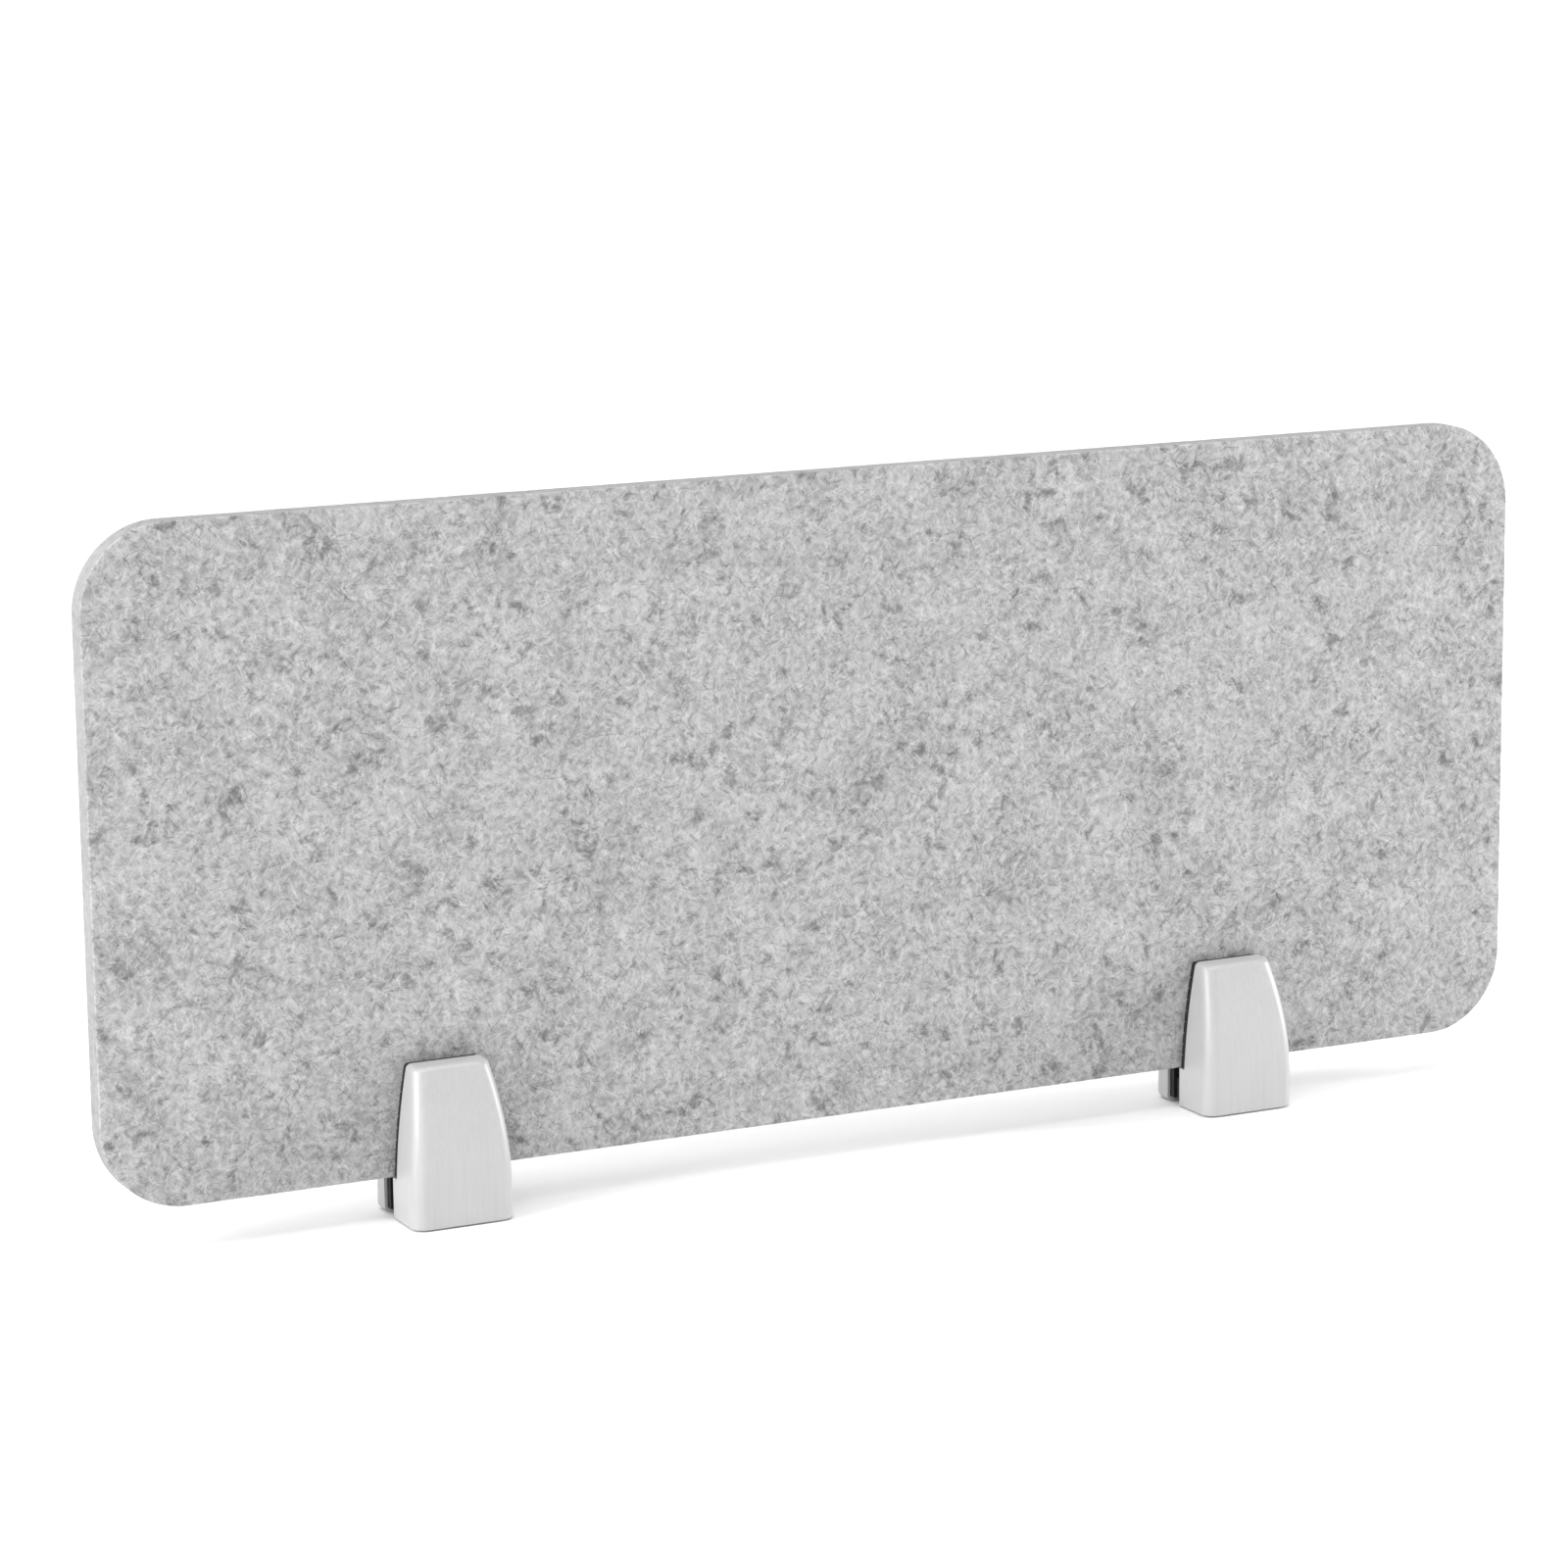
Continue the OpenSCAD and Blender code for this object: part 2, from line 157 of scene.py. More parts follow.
# %% Place the camera
VIEW_AZIMUTH = math.radians(-26.08)
VIEW_ELEVATION = math.radians(11.16)
VIEW_ROLL = math.radians(-0.63)
VIEW_DISTANCE = 3.6752
LENS_MM = 111.3
SENSOR_MM = 36
SEES_TO = 200
look_at = Vector((-0.0473, 0.0, 0.2945))

back = Vector((
    math.sin(VIEW_AZIMUTH) * math.cos(VIEW_ELEVATION),
    -math.cos(VIEW_AZIMUTH) * math.cos(VIEW_ELEVATION),
    math.sin(VIEW_ELEVATION),
))
camera = put_in_scene("camera", bpy.data.cameras.new("camera"))
camera.data.lens = LENS_MM
camera.data.sensor_width = SENSOR_MM
camera.data.clip_end = SEES_TO
turn = (-back).to_track_quat("-Z", "Y").to_matrix().to_4x4()
camera.matrix_world = (
    Matrix.Translation(look_at + back * VIEW_DISTANCE) @ turn @ Matrix.Rotation(VIEW_ROLL, 4, "Z")
)
bpy.context.scene.camera = camera
print("camera at", [round(x, 3) for x in camera.location])

# %% [markdown]
# ## Studio
#
# A catalogue shot of a grey object on white is lit almost evenly: a white room, one large soft light high
# on the left, and a weak strip on the right that draws a bright line down the rounded edges. The floor is
# one wide pale sheet. The room is brightest low down, as a white wall lit from below is, so the floor runs
# into it without a dark horizon. The standard view transform keeps the whites white.

# %% Floor
FLOOR_HALF = 60.0

build = bmesh.new()
bmesh.ops.create_grid(build, x_segments=4, y_segments=4, size=FLOOR_HALF)
floor = put_in_scene("studio_floor", mesh_of(build, "studio_floor"))

floor_paint, _, shader, _ = start_material("matt_white_floor_paint")
shader.inputs["Base Color"].default_value = paint_chart("FBFBFB")
shader.inputs["Roughness"].default_value = 0.9
shader.inputs["Specular IOR Level"].default_value = 0.1
floor.data.materials.append(floor_paint)
print("floor is", 2 * FLOOR_HALF, "m wide")

# %% White room
WALL_TOP = 0.18          # as the sine of the angle above the horizon
CEILING_EDGE = 0.45
WALL_GLOW = 1.0
CEILING_GLOW = 0.24

room = bpy.data.worlds.new("white_room")
room.use_nodes = True
tree = room.node_tree
background = tree.nodes["Background"]
background.inputs["Color"].default_value = paint_chart("FFFFFF")
looking = add(tree, "ShaderNodeTexCoord").outputs["Generated"]
height = add(tree, "ShaderNodeSeparateXYZ", {"Vector": looking}).outputs["Z"]
glow = add(tree, "ShaderNodeMapRange", {
    "Value": height, "From Min": WALL_TOP, "From Max": CEILING_EDGE,
    "To Min": WALL_GLOW, "To Max": CEILING_GLOW,
}, interpolation_type="SMOOTHSTEP").outputs["Result"]
tree.links.new(glow, background.inputs["Strength"])
bpy.context.scene.world = room
bpy.context.scene.view_settings.view_transform = "Standard"
print("room glows from", WALL_GLOW, "at the walls to", CEILING_GLOW, "overhead")

# %% Softboxes and ceiling light
CEILING_ENERGY = 2.85
CEILING_SPREAD = math.radians(70)    # a wide source, so that shadows stay soft
CEILING_LEAN = math.radians(-8)


def softbox(name, at, aim, width, height, watts):
    """A rectangular soft light that looks at a point."""
    lamp = bpy.data.lights.new(name, "AREA")
    lamp.shape = "RECTANGLE"
    lamp.size = width
    lamp.size_y = height
    lamp.energy = watts
    light = put_in_scene(name, lamp)
    light.location = at
    light.rotation_euler = (Vector(aim) - Vector(at)).to_track_quat("-Z", "Y").to_euler()


board_middle = (0, 0, (cad_low.z + cad_high.z) / 2)
softbox("key_softbox", at=(-3.4, -0.5, 1.4), aim=board_middle, width=1.6, height=1.6, watts=78)
softbox("edge_strip", at=(3.0, -0.55, 0.9), aim=board_middle, width=0.4, height=1.6, watts=55)
ceiling = put_in_scene("ceiling_light", bpy.data.lights.new("ceiling_light", "SUN"))
ceiling.data.energy = CEILING_ENERGY
ceiling.data.angle = CEILING_SPREAD
ceiling.rotation_euler = (0, CEILING_LEAN, 0)

# %% [markdown]
# ## The felt
#
# The board is PET felt: short polyester fibres, pale and charcoal, carded together, needled through and
# pressed hot into a stiff sheet. Mixed fibres give the heather look: soft clouds where one colour won,
# flecks of a few millimetres, dark clusters, and single fibres that lie every way and show as fine curved
# lines. There is no gloss, only a faint pale bloom from the fibre ends. A noise stretched about eight times
# longer than it is wide draws fibres, and several of them turned to different directions make felt, not
# wood grain.

# %% Fibres that lie along one direction
FIBRE_WIDTH = 1.6       # real fibres are far finer; this is as coarse as it needs to be to show
FIBRE_LENGTH = 13


def fibre_lines(tree, place, turn_deg, low, high):
    """0 to 1: long thin marks that lie along one direction of the board's face."""
    turned = add(tree, "ShaderNodeMapping", {
        "Vector": place,
        "Rotation": (0, math.radians(turn_deg), 0),
        "Scale": (FIBRE_WIDTH * MM, FIBRE_WIDTH * 3 * MM, FIBRE_LENGTH * MM),
    }, vector_type="TEXTURE").outputs["Vector"]
    grain = add(tree, "ShaderNodeTexNoise", {
        "Vector": turned, "Scale": 1.0, "Detail": 1.0, "Roughness": 0.4,
    }).outputs["Fac"]
    return add(tree, "ShaderNodeMapRange", {
        "Value": grain, "From Min": low, "From Max": high, "To Min": 0.0, "To Max": 1.0,
    }, interpolation_type="SMOOTHSTEP").outputs["Result"]


print("a fibre mark is", FIBRE_WIDTH, "mm wide and", FIBRE_LENGTH, "mm long")

# %% Heather PET felt
FLECK_SIZE = 6
CLUSTER_SIZE = 16
CLOUD_SIZE = 42
SWAY_SIZE = 24
SWAY = 9 * MM           # how far the slow waves bend flecks and fibres sideways
PALE_TURNS = (12, 63, 117, 158)
DARK_TURNS = (37, 90, 141)


def heather_felt(name, dark, middle, pale, contrast):
    """Felt of mixed fibres; contrast scales flecks and fibres, which a knife-cut edge shows less."""
    material, tree, shader, place = start_material(name)
    waves = add(tree, "ShaderNodeTexNoise", {
        "Vector": place, "Scale": per_mm(SWAY_SIZE), "Detail": 1.0,
    }).outputs["Color"]
    bent = add(tree, "ShaderNodeVectorMath", {
        0: waves, 1: (SWAY, SWAY, SWAY), 2: place,
    }, operation="MULTIPLY_ADD").outputs["Vector"]
    clouds = add(tree, "ShaderNodeTexNoise", {
        "Vector": place, "Scale": per_mm(CLOUD_SIZE), "Detail": 2.0, "Roughness": 0.55,
    }).outputs["Fac"]
    flecks = add(tree, "ShaderNodeTexNoise", {
        "Vector": bent, "Scale": per_mm(FLECK_SIZE), "Detail": 4.0, "Roughness": 0.62,
    }).outputs["Fac"]
    patches = add(tree, "ShaderNodeTexNoise", {
        "Vector": bent, "Scale": per_mm(CLUSTER_SIZE), "Detail": 3.0, "Roughness": 0.6, "Distortion": 0.4,
    }).outputs["Fac"]
    clusters = add(tree, "ShaderNodeMapRange", {
        "Value": patches, "From Min": 0.55, "From Max": 0.72, "To Min": 0.0, "To Max": 1.0,
    }, interpolation_type="SMOOTHSTEP").outputs["Result"]
    layers = [(clouds, 0.45), (flecks, 1.15), (clusters, -0.36)]
    layers += [(fibre_lines(tree, bent, turn_deg, 0.54, 0.74), 0.16) for turn_deg in PALE_TURNS]
    layers += [(fibre_lines(tree, bent, turn_deg, 0.60, 0.76), -0.22) for turn_deg in DARK_TURNS]
    shade = 0.5 - 0.76 * contrast
    for layer, weight in layers:
        shade = add(tree, "ShaderNodeMath", {
            0: layer, 1: weight * contrast, 2: shade,
        }, operation="MULTIPLY_ADD").outputs["Value"]
    ramp = add(tree, "ShaderNodeValToRGB", {"Fac": shade})
    ramp.color_ramp.interpolation = "B_SPLINE"
    ramp.color_ramp.elements[0].position = 0.12
    ramp.color_ramp.elements[0].color = paint_chart(dark)
    ramp.color_ramp.elements[1].position = 0.88
    ramp.color_ramp.elements[1].color = paint_chart(pale)
    ramp.color_ramp.elements.new(0.5).color = paint_chart(middle)
    tree.links.new(ramp.outputs["Color"], shader.inputs["Base Color"])
    relief = add(tree, "ShaderNodeBump", {"Height": shade, "Strength": 0.55, "Distance": 0.5 * MM})
    tree.links.new(relief.outputs["Normal"], shader.inputs["Normal"])
    shader.inputs["Roughness"].default_value = 1.0
    shader.inputs["Specular IOR Level"].default_value = 0.15
    shader.inputs["Sheen Weight"].default_value = 0.06
    shader.inputs["Sheen Roughness"].default_value = 0.6
    return material


# The pressed face shows the whole mix of fibres; the knife-cut edge is calmer, because it shows their ends.
# The edge's colours are also painted darker than the face's: painted shade that holds back the strong key
# light on the board's left and top edges.
pressed_felt = heather_felt("heather_pet_felt_pressed", "6C6C6C", "A0A0A0", "C8C8C8", 0.9)
cut_felt_painted_darker = heather_felt("heather_pet_felt_knife_cut_painted_shade", "7C7C7C", "969696", "ACACAC", 0.5)
print("felts:", pressed_felt.name, cut_felt_painted_darker.name)

# %% [markdown]
# ## The felt board
#
# The board is one sheet cut with a knife: flat faces, four large round corners, and edges that are only
# just softened where the knife pulled the fibres. It could be a box with a bevel, but then the light would
# find a perfect plane. Here a fine net of points covers both faces, follows the round corners, and each
# point sinks by a few tenths of a millimetre where the felt is loosely packed. The points only ever sink,
# so the jaws never cut into the board.

# %% The board's outline, row by row
BOARD_CORNER_R = 65 * MM
CORNER_STEPS = 26
NET_STEP = 4 * MM

board_low, board_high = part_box("felt_board")
half_w = (board_high.x - board_low.x) / 2
half_h = (board_high.z - board_low.z) / 2
half_t = (board_high.y - board_low.y) / 2
board_z = (board_high.z + board_low.z) / 2


def board_rows(inset):
    """Rows up the board: height from its middle, and half its width there, pulled in by inset."""
    straight = half_h - BOARD_CORNER_R
    round_r = BOARD_CORNER_R - inset
    turns = [math.pi / 2 * i / CORNER_STEPS for i in range(CORNER_STEPS + 1)]
    upper = [
        (straight + round_r * math.sin(t), half_w - BOARD_CORNER_R + round_r * math.cos(t)) for t in turns
    ]
    count = round(2 * straight / NET_STEP)
    between = [(-straight + 2 * straight * i / count, half_w - inset) for i in range(1, count)]
    lower = [(-z, w) for z, w in reversed(upper)]
    return lower + between + upper


print("the board's net has", len(board_rows(0)), "rows")

# %% Felt board mesh
KNIFE_EDGE_R = 1.8 * MM
KNIFE_EDGE_TURNS = (22.5, 45, 67.5, 90)    # degrees round the softened edge, one for each ring
ROUND_STRIPS = 3              # of the rounding strips between the face and the cut edge, those of face felt
EDGE_STRIPS = 6               # strips across the flat of the cut edge
PACKING_DEPTH = 0.45 * MM     # deepest hollow between fibres
KNIFE_WANDER = 0.35 * MM      # how far the cut edge wanders inwards
FACE_PATTERNS = ((0.6, 5.5, 3), (0.4, 38, 11))    # each one's share, size in mm, and seed
EDGE_PATTERNS = ((0.5, 4.0, 5), (0.5, 24, 17))


def packing(point, patterns):
    """0 to 1, how loosely the fibres are packed at a point, from a fine and a coarse pattern."""
    loose = 0
    for share, size, seed in patterns:
        wave = noise.noise(point / (size * MM) + Vector((seed, 0, 0)))
        loose += share * min(1, max(0, 0.5 + 0.7 * wave))
    return loose


def edge_profile():
    """Across the rim from front to back: how far each ring is pulled in, and its y."""
    flat = half_t - KNIFE_EDGE_R
    turns = [math.radians(a) for a in KNIFE_EDGE_TURNS]
    rounding = [(KNIFE_EDGE_R * (1 - math.sin(a)), flat + KNIFE_EDGE_R * math.cos(a)) for a in turns]
    across = [(0.0, -flat + 2 * flat * i / EDGE_STRIPS) for i in range(1, EDGE_STRIPS)]
    return [(d, -y) for d, y in rounding] + across + rounding[::-1]


def felt_board_mesh():
    """Both faces as fine nets, joined round the rim by a soft knife-cut edge."""
    columns = round(2 * half_w / NET_STEP)
    build = bmesh.new()
    nets = {}
    for side in (-1, 1):
        rows = board_rows(KNIFE_EDGE_R)
        for r, (z, w) in enumerate(rows):
            for c in range(columns + 1):
                x = w * (2 * c / columns - 1)
                nets[side, r, c] = build.verts.new((x, side * half_t, board_z + z))
        for r in range(len(rows) - 1):
            for c in range(columns):
                spots = [(r, c), (r, c + 1), (r + 1, c + 1), (r + 1, c)]
                corners = [nets[side, row, column] for row, column in spots]
                build.faces.new(corners if side < 0 else corners[::-1])
    last = len(rows) - 1
    rim = (
        [(0, c) for c in range(columns)]
        + [(r, columns) for r in range(last)]
        + [(last, c) for c in range(columns, 0, -1)]
        + [(r, 0) for r in range(last, 0, -1)]
    )
    rings = [[nets[-1, r, c] for r, c in rim]]
    for inset, y in edge_profile():
        rows = board_rows(inset)
        ring = []
        for r, c in rim:
            z, w = rows[r]
            ring.append(build.verts.new((w * (2 * c / columns - 1), y, board_z + z)))
        rings.append(ring)
    rings.append([nets[1, r, c] for r, c in rim])
    for strip, (near, far) in enumerate(zip(rings, rings[1:])):
        rounded = strip < ROUND_STRIPS or strip >= len(rings) - 1 - ROUND_STRIPS
        for i in range(len(rim)):
            j = (i + 1) % len(rim)
            face = build.faces.new((near[j], near[i], far[i], far[j]))
            # the flat of the cut edge takes the knife-cut felt, whose darker colours are painted shade
            # against the key light
            face.material_index = 0 if rounded else 1
    build.normal_update()
    for vert in build.verts:
        spot = vert.co.copy()
        on_face = abs(abs(spot.y) - half_t) < 0.0001 * MM
        if on_face:
            vert.co.y -= math.copysign(PACKING_DEPTH * packing(spot, FACE_PATTERNS), spot.y)
        else:
            vert.co -= vert.normal * (KNIFE_WANDER * packing(spot, EDGE_PATTERNS))
    return mesh_of(build, "felt_board_pressed")


finish_piece(
    "felt_board_pressed", felt_board_mesh(), [pressed_felt, cut_felt_painted_darker],
    "stand", ["felt_board"], sharp_deg=180,
)

# %% [markdown]
# ## Loose fibres
#
# Close up, felt is never quite closed: single fibres stand a little proud of the face. They are real
# geometry here, laid on the surface, because a bump map can't break an outline. Each is a short bent tube
# of three sides, pale or charcoal, from one seeded list of random numbers, so that every run gives the
# same board.

# %% Loose fibres on the felt
PALE_COUNT = 1500
CHARCOAL_COUNT = 750
STRAND_R = 0.09 * MM       # as coarse as it needs to be to show
STRAND_BENDS = 5
TIP_SHARE = 0.35           # a fibre's tip is this much of its width
STRAND_LENGTHS = (5, 13)   # in mm
STRAND_LIFTS = (0.05, 0.35)
STRAND_CURL = 1.6          # the most that a fibre turns from end to end, in radians
STRAND_TONE_SIZE = 30
random.seed(41)


def fibre_path(side):
    """Points of one bent fibre that lies on a face of the board."""
    reach_x = half_w - BOARD_CORNER_R / 2
    reach_z = half_h - BOARD_CORNER_R / 2
    start = Vector((random.uniform(-reach_x, reach_x), random.uniform(-reach_z, reach_z), 0))
    heading = random.uniform(0, 2 * math.pi)
    curl = random.uniform(-STRAND_CURL, STRAND_CURL)
    length = random.uniform(*STRAND_LENGTHS) * MM
    lift = random.uniform(*STRAND_LIFTS) * MM
    points = []
    for i in range(STRAND_BENDS + 1):
        rise = lift * math.sin(math.pi * i / STRAND_BENDS)
        points.append(Vector((start.x, side * (half_t - PACKING_DEPTH / 2 + rise), board_z + start.y)))
        start += Vector((math.cos(heading), math.sin(heading), 0)) * length / STRAND_BENDS
        heading += curl / STRAND_BENDS
    return points


def skin(build, rings):
    """Faces between each ring of points and the next, with both ends closed."""
    for near, far in zip(rings, rings[1:]):
        for i in range(len(near)):
            j = (i + 1) % len(near)
            build.faces.new((near[i], near[j], far[j], far[i]))
    build.faces.new(rings[0][::-1])
    build.faces.new(rings[-1])


def strand(build, points, radius):
    """A three-sided tube along the points, closed to a tip at both ends."""
    rings = []
    for i, point in enumerate(points):
        ahead = points[min(i + 1, len(points) - 1)] - points[max(i - 1, 0)]
        across = ahead.cross(Vector((0, 1, 0))).normalized()
        out = across.cross(ahead).normalized()
        here = radius * (TIP_SHARE if i in (0, len(points) - 1) else 1.0)
        rings.append([
            build.verts.new(point + (across * math.cos(a) + out * math.sin(a)) * here)
            for a in (0, 2 * math.pi / 3, 4 * math.pi / 3)
        ])
    skin(build, rings)


def loose_fibres(name, count, material):
    """Fibres on both faces in turn, all in one piece that stays with the board."""
    build = bmesh.new()
    for i in range(count):
        strand(build, fibre_path(-1 if i % 2 else 1), STRAND_R)
    bmesh.ops.recalc_face_normals(build, faces=build.faces)
    finish_piece(name, mesh_of(build, name), [material], "stand", sharp_deg=180)


def polyester_fibre(name, hex_code):
    """Drawn polyester is smooth and slightly translucent, so one fibre has a weak soft gleam."""
    material, tree, shader, place = start_material(name)
    slow = add(tree, "ShaderNodeTexNoise", {
        "Vector": place, "Scale": per_mm(STRAND_TONE_SIZE), "Detail": 1.0, "Roughness": 0.55,
    }).outputs["Fac"]
    tone = add(tree, "ShaderNodeValToRGB", {"Fac": slow})
    tone.color_ramp.elements[0].color = paint_chart(hex_code)
    tone.color_ramp.elements[1].color = paint_chart("B8B8B8")
    tree.links.new(tone.outputs["Color"], shader.inputs["Base Color"])
    shader.inputs["Roughness"].default_value = 0.6
    shader.inputs["IOR"].default_value = 1.57
    return material


pale_fibre = polyester_fibre("polyester_fibre_pale", "EEEEEE")
charcoal_fibre = polyester_fibre("polyester_fibre_charcoal", "6A6A6A")
loose_fibres("pale_loose_fibres", PALE_COUNT, pale_fibre)
loose_fibres("charcoal_loose_fibres", CHARCOAL_COUNT, charcoal_fibre)

# %% [markdown]
# ## Satin silver paint
#
# The jaw covers are die-cast and sprayed with a satin silver paint: a grey binder with fine aluminium flake
# in it, under a thin matt lacquer. Most of what the eye sees is the grey binder, and the flake adds a soft
# gleam, so the metallic value is low and the roughness does the rest. Spraying leaves a slight orange peel,
# and the flake drifts down the wet face, which leaves faint upright streaks.

# %% Satin silver flake paint
ORANGE_PEEL = 1.6
FLAKE_SIZE = 0.5         # real flake is 0.05 mm; this is as coarse as it needs to be to show
STREAK_WIDTH = 1.8
STREAK_LENGTH = 70
SPRAY_CLOUD = 35


def satin_silver_paint():
    """Grey paint with streaks, flake and slow clouds in its tone, and orange peel in its relief."""
    material, tree, shader, place = start_material("satin_silver_flake_paint")
    peel = add(tree, "ShaderNodeTexNoise", {
        "Vector": place, "Scale": per_mm(ORANGE_PEEL), "Detail": 2.0, "Roughness": 0.55,
    }).outputs["Fac"]
    flake = add(tree, "ShaderNodeTexNoise", {
        "Vector": place, "Scale": per_mm(FLAKE_SIZE), "Detail": 1.0, "Roughness": 0.55,
    }).outputs["Fac"]
    drift = add(tree, "ShaderNodeMapping", {
        "Vector": place, "Scale": (per_mm(STREAK_WIDTH), per_mm(STREAK_WIDTH), per_mm(STREAK_LENGTH)),
    }).outputs["Vector"]
    streaks = add(tree, "ShaderNodeTexNoise", {"Vector": drift, "Scale": 1.0, "Detail": 3.0}).outputs["Fac"]
    spray = add(tree, "ShaderNodeTexNoise", {
        "Vector": place, "Scale": per_mm(SPRAY_CLOUD), "Detail": 2.0, "Roughness": 0.55,
    }).outputs["Fac"]
    tone = -0.1
    for layer, weight in ((streaks, 0.55), (flake, 0.35), (spray, 0.3)):
        tone = add(tree, "ShaderNodeMath", {
            0: layer, 1: weight, 2: tone,
        }, operation="MULTIPLY_ADD").outputs["Value"]
    ramp = add(tree, "ShaderNodeValToRGB", {"Fac": tone})
    ramp.color_ramp.elements[0].position = 0.2
    ramp.color_ramp.elements[0].color = paint_chart("B5B5B5")
    ramp.color_ramp.elements[1].position = 0.8
    ramp.color_ramp.elements[1].color = paint_chart("C4C4C4")
    tree.links.new(ramp.outputs["Color"], shader.inputs["Base Color"])
    roughness = 0.30
    for layer, weight in ((flake, 0.12), (streaks, 0.10)):
        roughness = add(tree, "ShaderNodeMath", {
            0: layer, 1: weight, 2: roughness,
        }, operation="MULTIPLY_ADD").outputs["Value"]
    tree.links.new(roughness, shader.inputs["Roughness"])
    relief = add(tree, "ShaderNodeBump", {"Height": peel, "Strength": 0.25, "Distance": 0.03 * MM})
    tree.links.new(relief.outputs["Normal"], shader.inputs["Normal"])
    shader.inputs["Metallic"].default_value = 0.1
    return material


silver_paint = satin_silver_paint()
print("paint:", silver_paint.name)

# %% [markdown]
# ## Jaw covers
#
# A cover is a deep shell, open towards the board. Seen from the front it tapers in a slow curve, its face
# leans back towards the top, and its upright edges are generously rounded. Subdivision would guess at
# those curves, so the shell is lofted instead: one row of points for each height, each row following the
# cover's outline there. The same net of points is laid twice, once outside and once a wall's thickness
# inside, and the open rim is closed between them.

# %% Jaw shape
JAW_W = 80               # the jaws are drawn in mm and scaled where their points are made
JAW_TOP_W = 60
JAW_H = 119
JAW_BOTTOM = 1
TAPER_STRAIGHT = 0.35    # share of the taper that is straight; the rest is a curve
LEAN_START = 42          # height where the face starts to lean back
LEAN_POWER = 1.8
UPRIGHT_EDGE_R = 10
TOP_EDGE_R = 3.5
SMALLEST_R = 0.5
COVER_WALL = 2.5
BOARD_LIFT = board_low.z / MM
RIM_Y = half_t / MM + 6.5       # the rim stops at the grip pad's plate
LIP_Y = half_t / MM - 1         # below the board the rim reaches on, under its edge
FOOT_X = (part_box("right_front_cover")[0].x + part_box("right_front_cover")[1].x) / 2

front_jaw = {"low": 53, "high": 34, "bottom_r": 1.2, "lip_top": BOARD_LIFT, "side": -1}
rear_jaw = {"low": 31, "high": 28, "bottom_r": 4.0, "lip_top": BOARD_LIFT - 0.3, "side": 1}


def jaw_half_width(z):
    """Half of a jaw's width at a height: full below the board, tapering above its edge."""
    rise = max(0, z - BOARD_LIFT) / (JAW_H - BOARD_LIFT)
    taper = TAPER_STRAIGHT * rise + (1 - TAPER_STRAIGHT) * rise ** 2
    return JAW_W / 2 - (JAW_W - JAW_TOP_W) / 2 * taper


def jaw_depth(jaw, z):
    """How far the face stands from the board's middle at a height."""
    rise = max(0, z - LEAN_START) / (JAW_H - LEAN_START)
    return jaw["low"] - (jaw["low"] - jaw["high"]) * rise ** LEAN_POWER


for z in (JAW_BOTTOM, JAW_H):
    print("at", z, "mm a jaw is", round(2 * jaw_half_width(z), 1), "mm wide, and the front one",
          round(jaw_depth(front_jaw, z), 1), "mm deep")

# %% [markdown]
# ### Rows and columns of a shell
#
# The rows are close together where the shell curves, at its bottom and top edges, and wider apart on the
# flanks. Seen from above, each row runs from the rim along the side, round the upright edge and to the
# middle of the face, and its mirror image makes the other half. Below the board the rim reaches on in a
# short lip, so those rows have three more columns at each end.

# %% Points of one row, and the heights of the rows
ROUND_STEPS = 7
LIP_ROWS = 5
TALL_ROWS = 26
TOP_OF_LIP = ROUND_STEPS + LIP_ROWS     # the row that lies at the top of the lip
SIDE_STEPS = 5
EDGE_STEPS = 10
FACE_STEPS = 6
LIP_STEPS = 3
LEAST_SIDE = 0.1         # as a share of the edge's radius, where the side is all taken by the edge


def jaw_heights(jaw, inset):
    """Heights of the rows, each with how far edge rounding pulls that row in."""
    low, high = JAW_BOTTOM + inset, JAW_H - inset
    low_r = max(jaw["bottom_r"] - inset, SMALLEST_R)
    high_r = max(TOP_EDGE_R - inset, SMALLEST_R)
    quarter = [math.pi / 2 * i / ROUND_STEPS for i in range(ROUND_STEPS + 1)]
    rows = [(low + low_r * (1 - math.cos(a)), low_r * (1 - math.sin(a))) for a in quarter]
    lip = jaw["lip_top"] - rows[-1][0]
    rows += [(rows[ROUND_STEPS][0] + lip * i / LIP_ROWS, 0) for i in range(1, LIP_ROWS + 1)]
    tall = high - high_r - jaw["lip_top"]
    rows += [(jaw["lip_top"] + tall * i / TALL_ROWS, 0) for i in range(1, TALL_ROWS + 1)]
    rows += [(high - high_r + high_r * math.sin(a), high_r * (1 - math.cos(a))) for a in quarter[1:]]
    return rows


def half_row(jaw, z, pull, inset):
    """Points from the rim round the upright edge to the middle of the face, seen from above."""
    half = jaw_half_width(z) - inset - pull
    face = jaw_depth(jaw, z) - inset - pull
    r = UPRIGHT_EDGE_R - inset
    skipped = math.asin(min(1, max(0, (RIM_Y - face + r) / r)))    # of the edge's arc, cut off by the rim
    side = max(0, face - r - RIM_Y)
    first = max(side, LEAST_SIDE * r)
    total = side + r * (math.pi / 2 - skipped)
    stations = [first * i / SIDE_STEPS for i in range(SIDE_STEPS)]
    stations += [first + (total - first) * i / EDGE_STEPS for i in range(EDGE_STEPS + 1)]
    points = [(half, LIP_Y + (RIM_Y - LIP_Y) * i / LIP_STEPS) for i in range(LIP_STEPS)]
    for s in stations:
        if s < side:
            points.append((half, RIM_Y + s))
        else:
            a = skipped + (s - side) / r
            points.append((half - r + r * math.cos(a), face - r + r * math.sin(a)))
    flat = half - r
    points += [(flat * (1 - i / FACE_STEPS), face) for i in range(1, FACE_STEPS + 1)]
    return points


print("a shell has", len(jaw_heights(front_jaw, 0)), "rows of",
      2 * len(half_row(front_jaw, JAW_BOTTOM, 0, 0)) - 1, "points")

# %% Close the two nets into a shell


